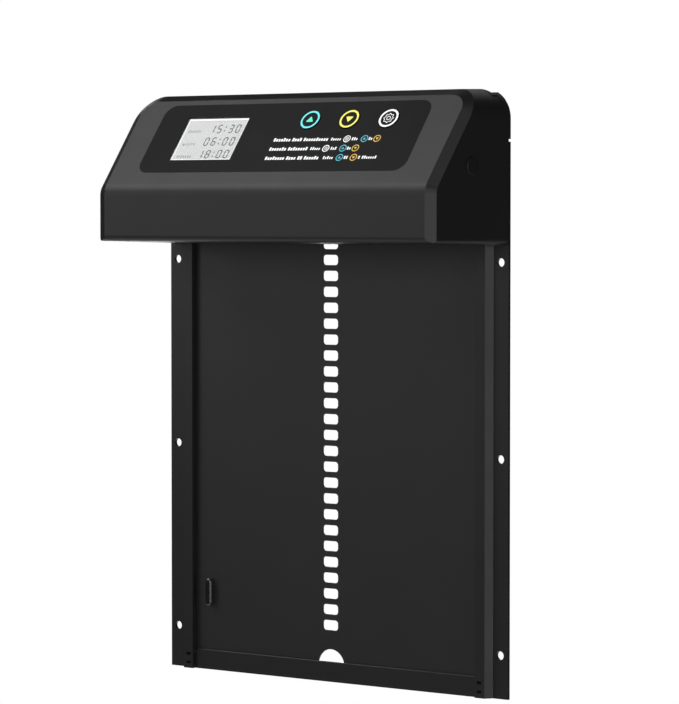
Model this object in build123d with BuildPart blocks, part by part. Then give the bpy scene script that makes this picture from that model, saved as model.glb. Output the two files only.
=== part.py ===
from build123d import *
from math import acos, cos, pi, radians, sin, tan
import os

# Automatic coop door: a panel slides up between two rails, lifted by a geared motor in a housing above.
# Millimetres. X runs along the wall, Y into the wall, so the front faces -Y, and Z is up.
# The origin is the centre of the mounting holes, on the wall. Heights below count from the bottom edge.

# Overall size and mounting holes
WIDTH = 251.0
HEIGHT = 349.0
DEPTH = 72.5
HOLE_SPACING_X = 240.0
HOLE_SPACING_Z = 225.0
HOLE_RADIUS = 2.5
LOWEST_HOLE = 25.0
HOLE_HEIGHTS = [LOWEST_HOLE, LOWEST_HOLE + HOLE_SPACING_Z / 2, LOWEST_HOLE + HOLE_SPACING_Z]
BOTTOM = -(LOWEST_HOLE + HOLE_SPACING_Z / 2)

# Rails
RAIL_TOP = 318.7
RAIL_WALL = 1.0
FLANGE_THICKNESS = 1.8
FLANGE_INNER = 115.1
LIP_OUTER = 112.2
LIP_INNER = 105.2
LIP_FRONT = 6.2
LIP_RETURN = 3.0
SLANT_WALL = 1.2
WINDOW_X = 108.4
WINDOW_HEIGHTS = [3.6, 8.9]
WINDOW_WIDTH = 3.3
WINDOW_HEIGHT = 1.7

# Bottom bar and the blocks that join it to the rails
BAR_HALF = 104.8
BAR_FRONT = 3.6
BAR_WALL = 1.0
BAR_HEIGHT = 12.0
BAR_REAR_HEIGHT = 6.0
BLOCK_INNER = 106.5
BLOCK_OUTER = 111.3
BLOCK_HEIGHT = 9.9
BLOCK_FRONT_HEIGHT = 11.4
TONGUE_INNER = 94.0

# Door panel, its rack of slots and its stop
PANEL_HALF = 110.5
PANEL_BACK = 1.2
PANEL_THICKNESS = 1.2
PANEL_LOW = 10.5
PANEL_TOP = 325.0
RACK_MODULE = 3.0
RACK_X = -2.0
RACK_PITCH = pi * RACK_MODULE
SLOT_COUNT = 31
SLOT_WIDTH = 11.4
SLOT_HEIGHT = 6.0
SLOT_CORNER = 1.9
LOWEST_SLOT = 33.6
NOTCH_X = -1.5
NOTCH_HEIGHT = 9.3
NOTCH_RADIUS = 10.0
STOP_X = -93.0
STOP_HEIGHT = 47.5
STOP_LENGTH = 17.0
STOP_WIDTH = 4.6
STOP_REACH = 4.2
PEG_RADIUS = 1.0
PEG_SPACING = 11.0

# Housing form
HOUSING_LOW = 259.5
WALL = 2.4
DRAFT = 1.6
TOP_RADIUS = 17.0
BOTTOM_RADIUS = 4.0
SKIM = 0.05
KNEE = 292.4
KNEE_RADIUS = 12.0
FRONT_BOTTOM_RADIUS = 3.5
SLOPE = 52.5
BEVEL_WIDTH = 5.9
BEVEL_DEPTH = 3.0
KNEE_BEVELS = (1 / 3, 2 / 3)
KNEE_REACH = 80.0
TOP_BEVEL = 4.4
FACE_RADIUS = 11.0

# Rear base: a plate stepped forwards over the rails, and the gap of the seal in front of it
BASE_WALL = 2.4
BASE_LOW = 259.9
BASE_TOP = HEIGHT
PLATEAU = 5.6
RECESS = 9.4
LAND = 4.3
STEP_IN = 101.1
STEP_OUT = 119.0
BASE_HALF = 122.4
SEAL = 1.0
SIDE_GAP = 0.3
NOTCH_TOP = 320.2

# Drive: rack gear and spur gear on one shaft, motor pinion in front of it
PRESSURE = radians(20)
SHAFT_HEIGHT = LOWEST_SLOT + 28 * RACK_PITCH
SHAFT_RADIUS = 3.0
RACK_TEETH = 12
RACK_ADDENDUM = 1.5
RACK_DEDENDUM = 2.6
RACK_THINNING = 0.1
SPUR_MODULE = 1.0
SPUR_TEETH = 22
PINION_TEETH = 11
SPUR_ADDENDUM = 0.8
SPUR_DEDENDUM = 1.05
SPUR_THINNING = 0.06
CENTRE_SLACK = 0.15
PINION_ANGLE = 205.0
SHAFT_DEPTH = PANEL_BACK + PANEL_THICKNESS / 2 + RACK_MODULE * RACK_TEETH / 2
CENTRE_DISTANCE = SPUR_MODULE * (SPUR_TEETH + PINION_TEETH) / 2 + CENTRE_SLACK
MOTOR_DEPTH = SHAFT_DEPTH - CENTRE_DISTANCE * cos(radians(PINION_ANGLE))
MOTOR_HEIGHT = SHAFT_HEIGHT + CENTRE_DISTANCE * sin(radians(PINION_ANGLE))
MOTOR_RADIUS = 12.0
MOTOR_SHAFT_RADIUS = 1.5
MOTOR_SCREW_SPACING = 17.0
GEARHEAD_LENGTH = 21.0
MOTOR_LENGTH = 28.0
MOTOR_BOSS = 3.5
GEAR_LEFT = -6.0
GEAR_RIGHT = 2.0
HUB_LEFT = -9.9
HUB_RIGHT = 4.9
HUB_RADIUS = 6.0
SPUR_LEFT = 10.0
SPUR_RIGHT = 16.0
SPUR_HUB = 0.7
SHAFT_FIT = 0.02
SHAFT_LEFT = -16.5
SHAFT_RIGHT = 18.2
CLIP_XS = [-15.0, 16.2]
CLIP_THICKNESS = 0.8
CLIP_RADIUS = 4.8
GROOVE_RADIUS = 2.3
BUSH_RADIUS = 4.5
BUSH_FLANGE = 6.0
BUSH_FLANGE_THICKNESS = 0.8
CHEEK_THICKNESS = 3.0
CHEEK_FRONT = 32.0
LEFT_CHEEK = -14.0
RIGHT_CHEEK = 6.0
WEB_THICKNESS = 2.0
WEB_FRONT = 30.0
PLATE_X = 18.5
PLATE_FRONT = 48.0
MOTOR_X = 21.0
TERMINAL_X = MOTOR_X + GEARHEAD_LENGTH + MOTOR_LENGTH
FRAME_BACK = 5.8
FRAME_LOW = 274.5
FRAME_TOP = 320.8
EAR_XS = [-18.5, 25.5]
EAR_HEIGHTS = [284.0, 311.0]
EAR_BACK = 10.6
EAR_THICKNESS = 2.0

# Control face: overlay, display, buttons and circuit board, measured on the slanted face from its middle
OVERLAY_X = -1.0
OVERLAY_WIDTH = 196.6
OVERLAY_V = 1.7
OVERLAY_HEIGHT = 50.6
OVERLAY_CORNER = 8.0
OVERLAY_THICKNESS = 0.45
LCD_X = -55.5
LCD_V = 1.55
LCD_WIDTH = 46.1
LCD_HEIGHT = 31.5
BUTTON_XS = [14.3, 42.6, 70.7]
BUTTON_V = 14.0
BUTTON_RADIUS = 6.9
BUTTON_PROUD = 0.5
BUTTON_GAP = 0.2
BUTTON_FLANGE = 1.1
FLANGE_UNDER = 3.4
PLUNGER_RADIUS = 1.7
SWITCH_TOP = 4.6
SWITCH_SIZE = 6.2
DISPLAY_TOP = 1.1
DISPLAY_STEP = 2.6
DISPLAY_BACK = 5.1
DISPLAY_FRAME = 2.5
BOARD_DEPTH = 7.4
BOARD_THICKNESS = 1.6
BOARD_BACK = BOARD_DEPTH + BOARD_THICKNESS
BOARD_WIDTH = 184.0
BOARD_HEIGHT = 46.0
BOARD_SCREWS = [(x, v) for x in (-88, -8, 88) for v in (-19, 19)]
CHIPS = [(20, 2, 12, 12), (-40, 4, 8, 5), (66, 4, 5, 4)]
CHIP_THICKNESS = 1.5
CONNECTORS = [(-8, -10), (84, -14), (84, 8)]
CONNECTOR_DEPTH = 5.0

# Battery bay and power jack
CELL_RADIUS = 7.1
CELL_LENGTH = 50.5
CELL_NUB = 1.3
CELL_HEIGHT = 273.6
CELL_DEPTHS = [44.5, 60.3]
CONTACT = 0.4
CONTACT_SIZE = 10.0
SPRING_SPACE = 2.4
SPRING_WIRE = 0.3
TRAY_LEFT = -115.0
TRAY_RIGHT = -10.8
TRAY_WALL = 1.4
TRAY_CLEAR = 0.6
FIRST_CELL = TRAY_LEFT + CONTACT
LID_X = -12.5
LID_FRONT = 65.8
LID_BACK = 38.2
LID_TOP = 265.3
LID_FLANGE = 264.3
LID_END = 120.0
GRIP_COUNT = 5
JACK_DEPTH = 37.3
JACK_HEIGHT = 304.5
JACK_HOLE = 4.1
JACK_FACE = 121.8

# Wires
WIRE_RADIUS = 0.6
WIRE_BEND = 1.5

# Screws
SINK_RADIUS = 2.9
SCREW_CLEARANCE = 1.6
BASE_SCREWS = [(side * 119.6, height) for side in (-1, 1) for height in (285, 312)]
COVER_SCREWS = [(side * 75, height) for side in (-1, 1) for height in (264.8, 343.9)]

# Working planes. LEVEL looks up, FRONT looks out of the wall, SIDE looks along +X.
LEVEL = Plane.XY.offset(BOTTOM)
FRONT = Plane(origin=(0, 0, BOTTOM), x_dir=(1, 0, 0), z_dir=(0, -1, 0))
SIDE = Plane(origin=(0, 0, BOTTOM), x_dir=(0, 1, 0), z_dir=(1, 0, 0))
FACE_LENGTH = (HEIGHT - KNEE) / sin(radians(SLOPE))
FACE_DEPTH = DEPTH - FACE_LENGTH / 2 * cos(radians(SLOPE))
FACE_MIDDLE = (KNEE + HEIGHT) / 2
FACE = Plane(
    origin=(0, -FACE_DEPTH, BOTTOM + FACE_MIDDLE),
    x_dir=(1, 0, 0),
    z_dir=(0, -sin(radians(SLOPE)), cos(radians(SLOPE))),
)
DOWN = (Align.CENTER, Align.CENTER, Align.MAX)
UP = (Align.CENTER, Align.CENTER, Align.MIN)


def point(x, depth, height):
    """A point given by its depth in front of the wall and its height above the bottom edge."""
    return Vector(x, -depth, BOTTOM + height)


def wall_plane(x, height, depth, towards_wall=False):
    """A plane parallel to the wall, looking out of the wall or, for parts fitted from behind, into it."""
    return Plane(origin=point(x, depth, height), x_dir=(1, 0, 0), z_dir=(0, 1 if towards_wall else -1, 0))


def cross_plane(x, depth, height, angle=0):
    """A plane across X for gears and the motor, with its own x turned by angle from +Y."""
    turned = (0, cos(radians(angle)), sin(radians(angle)))
    return Plane(origin=point(x, depth, height), x_dir=turned, z_dir=(1, 0, 0))


def sunk_hole(plane, depth):
    """A countersunk screw hole cut into the part being built."""
    flare = SINK_RADIUS + 0.05
    with Locations(plane):
        Cylinder(SCREW_CLEARANCE, depth, align=DOWN, mode=Mode.SUBTRACT)
        Cone(SCREW_CLEARANCE, flare, flare - SCREW_CLEARANCE, align=DOWN, mode=Mode.SUBTRACT)


def mirrored(half):
    """A whole outline from the corners of its right half, listed from the middle outwards."""
    return [(-x, y) for x, y in reversed(half)] + half


def screws(places, shank, length, head, sunk, head_height=1.8):
    """Identical screws as separate solids. A place is the plane under the head, or flush with a sunk one."""
    top = 0 if sunk else head_height
    cross_width = 0.5
    cross_depth = 0.9
    with BuildPart(*places) as fasteners:
        Cylinder(shank, length, align=DOWN)
        if sunk:
            Cone(shank, head, head - shank, align=DOWN)
        else:
            Cylinder(head, head_height, align=UP)
        with Locations((0, 0, top)):
            Box(head * 1.2, cross_width, cross_depth, align=DOWN, mode=Mode.SUBTRACT)
            Box(cross_width, head * 1.2, cross_depth, align=DOWN, mode=Mode.SUBTRACT)
    return fasteners.part


# ---------------------------------------------------------------------------------------------
# Frame


def rail(side):
    """A guide rail: a screw flange, a slanted wall and a lip that laps over the panel's edge."""
    lip_back = LIP_FRONT - RAIL_WALL
    slant = (FLANGE_INNER - LIP_OUTER) / (LIP_FRONT - FLANGE_THICKNESS)
    inner_slant = LIP_OUTER + slant * RAIL_WALL - SLANT_WALL
    section = [
        (WIDTH / 2, 0),
        (WIDTH / 2, -FLANGE_THICKNESS),
        (FLANGE_INNER, -FLANGE_THICKNESS),
        (LIP_OUTER, -LIP_FRONT),
        (LIP_INNER, -LIP_FRONT),
        (LIP_INNER, -LIP_RETURN),
        (LIP_INNER + RAIL_WALL, -LIP_RETURN),
        (LIP_INNER + RAIL_WALL, -lip_back),
        (inner_slant, -lip_back),
        (FLANGE_INNER - SLANT_WALL, -FLANGE_THICKNESS),
        (FLANGE_INNER - SLANT_WALL, 0),
    ]
    with BuildPart() as bar:
        with BuildSketch(LEVEL):
            with BuildLine():
                Polyline(*[(side * x, y) for x, y in section], close=True)
            make_face()
        extrude(amount=RAIL_TOP)
        with BuildSketch(FRONT):
            with Locations(*[(side * HOLE_SPACING_X / 2, height) for height in HOLE_HEIGHTS]):
                Circle(HOLE_RADIUS)
        extrude(amount=FLANGE_THICKNESS, mode=Mode.SUBTRACT)
        with BuildSketch(FRONT.offset(lip_back)):
            with Locations(*[(side * WINDOW_X, height) for height in WINDOW_HEIGHTS]):
                Rectangle(WINDOW_WIDTH, WINDOW_HEIGHT)
        extrude(amount=RAIL_WALL, mode=Mode.SUBTRACT)
        for x, height in BASE_SCREWS:
            if x * side > 0:
                sunk_hole(wall_plane(x, height, 0, towards_wall=True), FLANGE_THICKNESS)
    return bar.part


with BuildPart() as bottom_bar:
    with BuildSketch(SIDE.offset(-BAR_HALF)):
        with BuildLine():
            Polyline(
                (0, 0),
                (0, BAR_REAR_HEIGHT),
                (-BAR_WALL, BAR_REAR_HEIGHT),
                (-BAR_WALL, BAR_WALL),
                (-BAR_FRONT + BAR_WALL, BAR_WALL),
                (-BAR_FRONT + BAR_WALL, BAR_HEIGHT),
                (-BAR_FRONT, BAR_HEIGHT),
                (-BAR_FRONT, 0),
                close=True,
            )
        make_face()
    extrude(amount=2 * BAR_HALF)
    chamfer(bottom_bar.faces().sort_by(Axis.Z)[-1].edges().filter_by(Axis.X).sort_by(Axis.Y)[0], 0.4)


def corner_block(side):
    """A block in the rail's foot, with a tongue in the bottom bar and two barbs in the lip's windows."""
    clear = 0.2
    block_front = LIP_FRONT - RAIL_WALL - clear
    width = BLOCK_OUTER - BLOCK_INNER
    with BuildPart() as block:
        with BuildSketch(LEVEL):
            with Locations((side * (BLOCK_INNER + width / 2), -(block_front + clear) / 2)):
                Rectangle(width, block_front - clear)
        extrude(amount=BLOCK_HEIGHT)
        with BuildSketch(LEVEL):
            with Locations((side * (BLOCK_INNER + width / 2), -(block_front + LIP_RETURN) / 2)):
                Rectangle(width, block_front - LIP_RETURN)
        extrude(amount=BLOCK_FRONT_HEIGHT)
        with BuildSketch(LEVEL.offset(BAR_WALL + 0.1)):
            with Locations((side * (BLOCK_INNER + TONGUE_INNER) / 2, -BAR_FRONT / 2)):
                Rectangle(BLOCK_INNER - TONGUE_INNER, BAR_FRONT - 2 * BAR_WALL - clear)
        extrude(amount=BLOCK_HEIGHT - 2)
        with BuildSketch(FRONT.offset(block_front)):
            with Locations(*[(side * WINDOW_X, height) for height in WINDOW_HEIGHTS]):
                Rectangle(WINDOW_WIDTH - 2 * clear, WINDOW_HEIGHT - 2 * clear)
        extrude(amount=RAIL_WALL)
    return block.part


# ---------------------------------------------------------------------------------------------
# Door: the panel, its stop and the magnet in the stop

with BuildPart() as door_panel:
    with BuildSketch(FRONT.offset(PANEL_BACK)) as panel_outline:
        with Locations((0, (PANEL_LOW + PANEL_TOP) / 2)):
            Rectangle(2 * PANEL_HALF, PANEL_TOP - PANEL_LOW)
        with Locations((NOTCH_X, NOTCH_HEIGHT)):
            Circle(NOTCH_RADIUS, mode=Mode.SUBTRACT)
        mouth = panel_outline.vertices().group_by(Axis.Y)[0].sort_by(Axis.X)
        fillet(mouth[1:3], 2.0)
        fillet(panel_outline.vertices().group_by(Axis.Y)[-1], 3.0)
        with Locations(*[(RACK_X, LOWEST_SLOT + i * RACK_PITCH) for i in range(SLOT_COUNT)]):
            RectangleRounded(SLOT_WIDTH, SLOT_HEIGHT, SLOT_CORNER, mode=Mode.SUBTRACT)
        with Locations((STOP_X, STOP_HEIGHT - PEG_SPACING / 2), (STOP_X, STOP_HEIGHT + PEG_SPACING / 2)):
            Circle(PEG_RADIUS + 0.05, mode=Mode.SUBTRACT)
    extrude(amount=PANEL_THICKNESS)

with BuildPart() as door_stop:
    with BuildSketch(FRONT.offset(PANEL_BACK + PANEL_THICKNESS)):
        with Locations((STOP_X, STOP_HEIGHT)):
            SlotOverall(STOP_LENGTH, STOP_WIDTH, rotation=90)
    extrude(amount=STOP_REACH)
    fillet(door_stop.faces().sort_by(Axis.Y)[0].edges(), 1.2)
    with BuildSketch(FRONT.offset(PANEL_BACK + PANEL_THICKNESS)):
        with Locations((STOP_X, STOP_HEIGHT)):
            Rectangle(2.4, 8.2)
    extrude(amount=2.4, mode=Mode.SUBTRACT)
    with BuildSketch(FRONT.offset(PANEL_BACK)):
        with Locations((STOP_X, STOP_HEIGHT - PEG_SPACING / 2), (STOP_X, STOP_HEIGHT + PEG_SPACING / 2)):
            Circle(PEG_RADIUS)
    extrude(amount=PANEL_THICKNESS)
    with BuildSketch(FRONT.offset(PANEL_BACK)):
        with Locations((STOP_X, STOP_HEIGHT - PEG_SPACING / 2), (STOP_X, STOP_HEIGHT + PEG_SPACING / 2)):
            Circle(PEG_RADIUS + 0.7)
    extrude(amount=-0.5)

with BuildPart() as door_magnet:
    with BuildSketch(FRONT.offset(PANEL_BACK + PANEL_THICKNESS)):
        with Locations((STOP_X, STOP_HEIGHT)):
            Rectangle(2.2, 8.0)
    extrude(amount=2.2)


# ---------------------------------------------------------------------------------------------
# Housing form, shared by the cover's outside, its inside and the battery lid


def bevel_cutter(plane, outline):
    """What the bevel takes off round a face: a slab less a frustum that widens as it goes in.

    outline(grow) draws the flat left inside the bevel, grown by grow on every side.
    """
    reach = 10.0
    lead = 1.0
    slope = BEVEL_WIDTH / BEVEL_DEPTH
    with BuildPart() as cutter:
        with BuildSketch(plane.offset(-reach)):
            Rectangle(2 * WIDTH, 3 * HEIGHT)
        extrude(amount=reach + lead)
        with BuildSketch(plane.offset(lead)):
            add(outline(-slope * lead))
        with BuildSketch(plane.offset(-reach)):
            add(outline(slope * reach))
        loft(ruled=True, mode=Mode.SUBTRACT)
    return cutter.part


def slanted_flat(inset, grow):
    """The flat inside the bevel on the slanted face: nearly a rectangle, wider at the top by the draft."""
    low = -80.0 - grow
    top = FACE_LENGTH / 2 - FACE_DEPTH * tan(radians(DRAFT)) / 2 - TOP_BEVEL - inset + grow
    middle_half = WIDTH / 2 - FACE_DEPTH * tan(radians(DRAFT)) - BEVEL_WIDTH - inset + grow
    lean = cos(radians(SLOPE)) * tan(radians(DRAFT))
    with BuildSketch() as flat:
        with BuildLine():
            corners = [(middle_half + lean * low, low), (middle_half + lean * top, top)]
            Polyline(*mirrored(corners), close=True)
        make_face()
        fillet(flat.vertices().group_by(Axis.Y)[-1], FACE_RADIUS + grow)
    return flat.sketch


def front_flat(inset, grow):
    """The flat between the side bevels on the upright front face."""
    half = WIDTH / 2 - DEPTH * tan(radians(DRAFT)) - BEVEL_WIDTH - inset + grow
    with BuildSketch() as flat:
        with Locations((0, (HOUSING_LOW + HEIGHT) / 2)):
            Rectangle(2 * half, 2 * DEPTH + 2 * grow)
    return flat.sketch


def knee_plane(turn):
    """The plane that touches the rounded knee where it has turned that many degrees up from the front face."""
    out, up = cos(radians(turn)), sin(radians(turn))
    centre_height = KNEE - KNEE_RADIUS * tan(radians(90 - SLOPE) / 2)
    touch = point(0, DEPTH - KNEE_RADIUS * (1 - out), centre_height + KNEE_RADIUS * up)
    return Plane(origin=touch, x_dir=(1, 0, 0), z_dir=(0, -out, up))


def knee_flat(plane, inset, grow):
    """The flat between the side bevels at a plane on the knee: it widens upwards with the draft."""
    half = WIDTH / 2 + plane.origin.Y * tan(radians(DRAFT)) - BEVEL_WIDTH - inset + grow
    lean = plane.z_dir.Z * tan(radians(DRAFT))
    reach = KNEE_REACH + grow
    with BuildSketch() as flat:
        with BuildLine():
            corners = [(half - lean * reach, -reach), (half + lean * reach, reach)]
            Polyline(*mirrored(corners), close=True)
        make_face()
    return flat.sketch


def housing_block(inset):
    """The housing's outer form moved inwards by inset: drafted sides, rounded knee, bevelled front."""
    front = DEPTH - inset
    tilt = radians(SLOPE)
    knee = KNEE - inset * cos(tilt) + inset * (1 - sin(tilt)) * tan(tilt)
    above = HEIGHT + 10
    low = HOUSING_LOW + inset
    slanted_bevel = bevel_cutter(FACE.offset(-inset), lambda grow: slanted_flat(inset, grow))
    front_bevel = bevel_cutter(FRONT.offset(front), lambda grow: front_flat(inset, grow))
    knee_bevels = []
    for share in KNEE_BEVELS:
        plane = knee_plane(share * (90 - SLOPE))
        knee_bevels.append(bevel_cutter(plane.offset(-inset), lambda grow: knee_flat(plane, inset, grow)))
    with BuildPart() as block:
        with BuildSketch(FRONT) as outline:
            with Locations((0, (low - SKIM + HEIGHT - inset) / 2)):
                Rectangle(WIDTH - 2 * inset, HEIGHT - inset - low + SKIM)
            fillet(outline.vertices().group_by(Axis.Y)[-1], TOP_RADIUS - inset)
            fillet(outline.vertices().group_by(Axis.Y)[0], BOTTOM_RADIUS - inset)
        extrude(amount=front + 1, taper=DRAFT)
        with BuildSketch(SIDE.offset(-WIDTH)) as profile:
            with BuildLine():
                Polyline(
                    (1, low),
                    (-front, low + front * tan(radians(DRAFT))),
                    (-front, knee),
                    (-front + (above - knee) / tan(tilt), above),
                    (1, above),
                    close=True,
                )
            make_face()
            front_corners = profile.vertices().group_by(Axis.X)[0].sort_by(Axis.Y)
            fillet(front_corners[0], FRONT_BOTTOM_RADIUS - inset / 2)
            front_corners = profile.vertices().group_by(Axis.X)[0].sort_by(Axis.Y)
            fillet(front_corners[-1], KNEE_RADIUS - inset)
        extrude(amount=2 * WIDTH, mode=Mode.INTERSECT)
        add(slanted_bevel, mode=Mode.SUBTRACT)
        add(front_bevel, mode=Mode.SUBTRACT)
        for bevel in knee_bevels:
            add(bevel, mode=Mode.SUBTRACT)
    return block.part


def stepped_line(gap):
    """Corners of the rear base's stepped front, right half from the middle out, moved forwards by gap."""
    return [
        (STEP_IN - gap, -(PLATEAU + gap)),
        (STEP_IN - gap, -(RECESS + gap)),
        (STEP_OUT + gap, -(RECESS + gap)),
        (STEP_OUT + gap, -(LAND + gap)),
    ]


outer_block = housing_block(0)
inner_block = housing_block(WALL)

# ---------------------------------------------------------------------------------------------
# Rear base and front cover

with BuildPart() as rear_base:
    front_line = mirrored(stepped_line(0) + [(BASE_HALF, -LAND)])
    back_line = mirrored(stepped_line(-BASE_WALL) + [(BASE_HALF, -LAND + BASE_WALL)])
    with BuildSketch(LEVEL.offset(BASE_LOW)):
        with BuildLine():
            Polyline(*front_line, *reversed(back_line), close=True)
        make_face()
    extrude(amount=BASE_TOP - BASE_LOW)
    # Pads that reach back to the wall above the rails
    pad_inner = STEP_OUT - BASE_WALL
    with BuildSketch(LEVEL.offset(NOTCH_TOP)):
        for side in (-1, 1):
            with Locations((side * (pad_inner + BASE_HALF) / 2, -(LAND - BASE_WALL) / 2)):
                Rectangle(BASE_HALF - pad_inner, LAND - BASE_WALL)
    extrude(amount=BASE_TOP - NOTCH_TOP)
    # Corners rounded like the housing's
    add(outer_block, mode=Mode.INTERSECT)
    # Window that the rack gear reaches through
    with BuildSketch(FRONT.offset(PLATEAU - BASE_WALL)):
        with Locations((RACK_X, SHAFT_HEIGHT)):
            RectangleRounded(11.0, 32.0, 2.0)
    extrude(amount=BASE_WALL, mode=Mode.SUBTRACT)
    # Posts for the gearbox, with blind screw holes
    with BuildSketch(FRONT.offset(PLATEAU)):
        with Locations(*[(x, height) for x in EAR_XS for height in EAR_HEIGHTS]):
            Circle(3.2)
    extrude(amount=EAR_BACK - PLATEAU)
    with BuildSketch(FRONT.offset(EAR_BACK)):
        with Locations(*[(x, height) for x in EAR_XS for height in EAR_HEIGHTS]):
            Circle(1.35)
    extrude(amount=-(EAR_BACK - PLATEAU + 1.2), mode=Mode.SUBTRACT)
    # Bosses for the screws that come through the rails, and holes for the cover's screws
    with BuildSketch(FRONT.offset(LAND)):
        with Locations(*BASE_SCREWS):
            Circle(2.8)
    extrude(amount=6.0)
    with BuildSketch(FRONT.offset(LAND - BASE_WALL)):
        with Locations(*BASE_SCREWS):
            Circle(1.5)
    extrude(amount=BASE_WALL + 5.0, mode=Mode.SUBTRACT)
    for x, height in COVER_SCREWS:
        sunk_hole(wall_plane(x, height, PLATEAU - BASE_WALL, towards_wall=True), BASE_WALL)

with BuildPart() as cover_gasket:
    seal_front = mirrored(stepped_line(SEAL - 0.05) + [(BASE_HALF, -LAND - SEAL + 0.05)])
    with BuildSketch(LEVEL.offset(BASE_LOW + 0.4)):
        with BuildLine():
            Polyline(*seal_front, *reversed(front_line), close=True)
        make_face()
    extrude(amount=BASE_TOP - BASE_LOW - 1.5)
    with BuildSketch(FRONT.offset(PLATEAU - 2)):
        with Locations((0, (HOUSING_LOW + HEIGHT) / 2)):
            Rectangle(WIDTH, HEIGHT - HOUSING_LOW - 2 * WALL - 1.4)
    extrude(amount=10, mode=Mode.SUBTRACT)
    add(outer_block, mode=Mode.INTERSECT)

with BuildPart() as front_cover:
    add(outer_block)
    add(inner_block, mode=Mode.SUBTRACT)
    # Pocket for the rear base and the way out for the panel
    pocket_half = BASE_HALF + SIDE_GAP
    pocket_line = mirrored(stepped_line(SEAL) + [(pocket_half, -LAND - SEAL), (pocket_half, 1)])
    with BuildSketch(LEVEL.offset(HOUSING_LOW - 5)):
        with BuildLine():
            Polyline(*pocket_line, close=True)
        make_face()
    extrude(amount=HEIGHT - HOUSING_LOW + 10, mode=Mode.SUBTRACT)
    # The sides stop in front of the rails' flanges, below their tops
    with BuildSketch(LEVEL.offset(HOUSING_LOW - 5)):
        Rectangle(2 * WIDTH, 2 * (FLANGE_THICKNESS + 0.1))
    extrude(amount=NOTCH_TOP - HOUSING_LOW + 5, mode=Mode.SUBTRACT)
    # Screw bosses, run into the bottom and top walls
    with BuildSketch(FRONT.offset(PLATEAU + SEAL + 0.1)):
        with Locations(*COVER_SCREWS):
            Circle(3.2)
    extrude(amount=14.0)
    with BuildSketch(FRONT.offset(PLATEAU + SEAL + 0.1)):
        with Locations(*COVER_SCREWS):
            Circle(1.55)
    extrude(amount=11.0, mode=Mode.SUBTRACT)
    # Posts that carry the circuit board
    with BuildSketch(FACE.offset(-BOARD_DEPTH)):
        with Locations(*BOARD_SCREWS):
            Circle(2.6)
    extrude(amount=BOARD_DEPTH - WALL + 0.3)
    with BuildSketch(FACE.offset(-BOARD_DEPTH)):
        with Locations(*BOARD_SCREWS):
            Circle(1.05)
    extrude(amount=5.0, mode=Mode.SUBTRACT)
    # Recess for the overlay, then the display's opening and the buttons' holes
    with BuildSketch(FACE.offset(-OVERLAY_THICKNESS - 0.05)):
        with Locations((OVERLAY_X, OVERLAY_V)):
            RectangleRounded(OVERLAY_WIDTH + 0.2, OVERLAY_HEIGHT + 0.2, OVERLAY_CORNER + 0.1)
    extrude(amount=2, mode=Mode.SUBTRACT)
    with BuildSketch(FACE.offset(-WALL - 1)):
        with Locations((LCD_X, LCD_V)):
            Rectangle(LCD_WIDTH + 0.3, LCD_HEIGHT + 0.3)
        with Locations(*[(x, BUTTON_V) for x in BUTTON_XS]):
            Circle(BUTTON_RADIUS + BUTTON_GAP)
    extrude(amount=WALL + 1, mode=Mode.SUBTRACT)
    # Battery opening in the bottom wall, and the slot in the left wall that the lid slides out of
    with BuildSketch(LEVEL.offset(HOUSING_LOW - 2)):
        with Locations(((LID_X + 0.3 - WIDTH / 2) / 2, -(LID_FRONT + LID_BACK) / 2)):
            Rectangle(WIDTH / 2 + LID_X + 0.3, LID_FRONT - LID_BACK + 0.6)
    extrude(amount=8, mode=Mode.SUBTRACT)
    with BuildSketch(LEVEL.offset(HOUSING_LOW - 2)):
        with Locations((-WIDTH / 2, -(LID_FRONT + LID_BACK) / 2)):
            Rectangle(2 * (WIDTH / 2 - LID_END + 0.3), LID_FRONT - LID_BACK + 5.4)
    extrude(amount=LID_TOP + 0.3 - HOUSING_LOW + 2, mode=Mode.SUBTRACT)
    # Hole for the power jack
    with BuildSketch(SIDE.offset(WIDTH / 2 - 5)):
        with Locations((-JACK_DEPTH, JACK_HEIGHT)):
            Circle(JACK_HOLE)
    extrude(amount=8, mode=Mode.SUBTRACT)

# ---------------------------------------------------------------------------------------------
# Control face: overlay, display, buttons, circuit board and what it carries

with BuildPart() as control_overlay:
    with BuildSketch(FACE.offset(-OVERLAY_THICKNESS)):
        with Locations((OVERLAY_X, OVERLAY_V)):
            RectangleRounded(OVERLAY_WIDTH, OVERLAY_HEIGHT, OVERLAY_CORNER)
        with Locations((LCD_X, LCD_V)):
            Rectangle(LCD_WIDTH + 0.3, LCD_HEIGHT + 0.3, mode=Mode.SUBTRACT)
        with Locations(*[(x, BUTTON_V) for x in BUTTON_XS]):
            Circle(BUTTON_RADIUS + BUTTON_GAP, mode=Mode.SUBTRACT)
    extrude(amount=OVERLAY_THICKNESS)

with BuildPart() as lcd_window:
    with BuildSketch(FACE.offset(-0.05)):
        with Locations((LCD_X, LCD_V)):
            Rectangle(LCD_WIDTH, LCD_HEIGHT)
    extrude(amount=-0.9)

with BuildPart() as lcd_module:
    with BuildSketch(FACE.offset(-DISPLAY_TOP)):
        with Locations((LCD_X, LCD_V)):
            Rectangle(LCD_WIDTH, LCD_HEIGHT)
    extrude(amount=DISPLAY_TOP - DISPLAY_STEP)
    with BuildSketch(FACE.offset(-DISPLAY_STEP)):
        with Locations((LCD_X, LCD_V)):
            Rectangle(LCD_WIDTH + 2 * DISPLAY_FRAME, LCD_HEIGHT + 2 * DISPLAY_FRAME)
    extrude(amount=DISPLAY_STEP - DISPLAY_BACK)

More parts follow.
